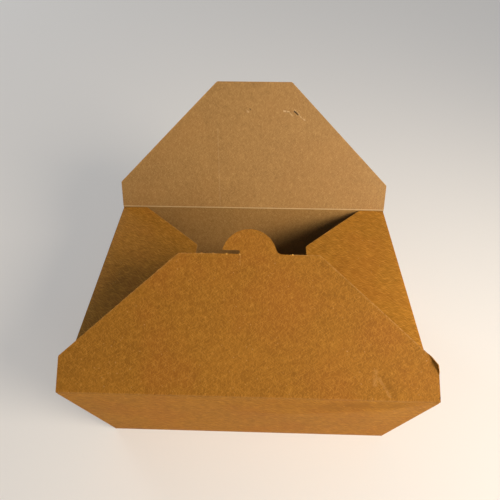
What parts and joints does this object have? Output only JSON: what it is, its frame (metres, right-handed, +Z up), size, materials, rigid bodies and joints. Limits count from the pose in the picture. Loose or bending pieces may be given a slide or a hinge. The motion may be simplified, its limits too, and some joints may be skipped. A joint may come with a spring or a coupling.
{
  "type": "takeaway box",
  "caption": "Flared takeaway food box folded from one sheet of brown card, with glued corner webs, folded-in side flaps and two hinged lid flaps that lock by a hooked tab in a slit.",
  "frame": {"origin": "middle of the underside, on the table", "axes": "+X to the right along the long side, +Y to the back, +Z up"},
  "size_m": [0.2178, 0.2082, 0.1736],
  "materials": {
    "card": "matt unbleached brown board with a fine fibre mottle"
  },
  "bodies": {
    "tray": {"tray": "card"},
    "front_flap": {"front_flap": "card"},
    "back_flap": {"back_flap": "card"}
  },
  "joints": [
    {"name": "front_flap_fold", "type": "hinge", "parent": "tray", "child": "front_flap", "pos_m": [0, -0.07925, 0.09], "axis": [1, 0, 0], "range_deg": [-36, 184]},
    {"name": "back_flap_fold", "type": "hinge", "parent": "tray", "child": "back_flap", "pos_m": [0, 0.07925, 0.09], "axis": [-1, 0, 0], "range_deg": [-119, 99]}
  ]
}
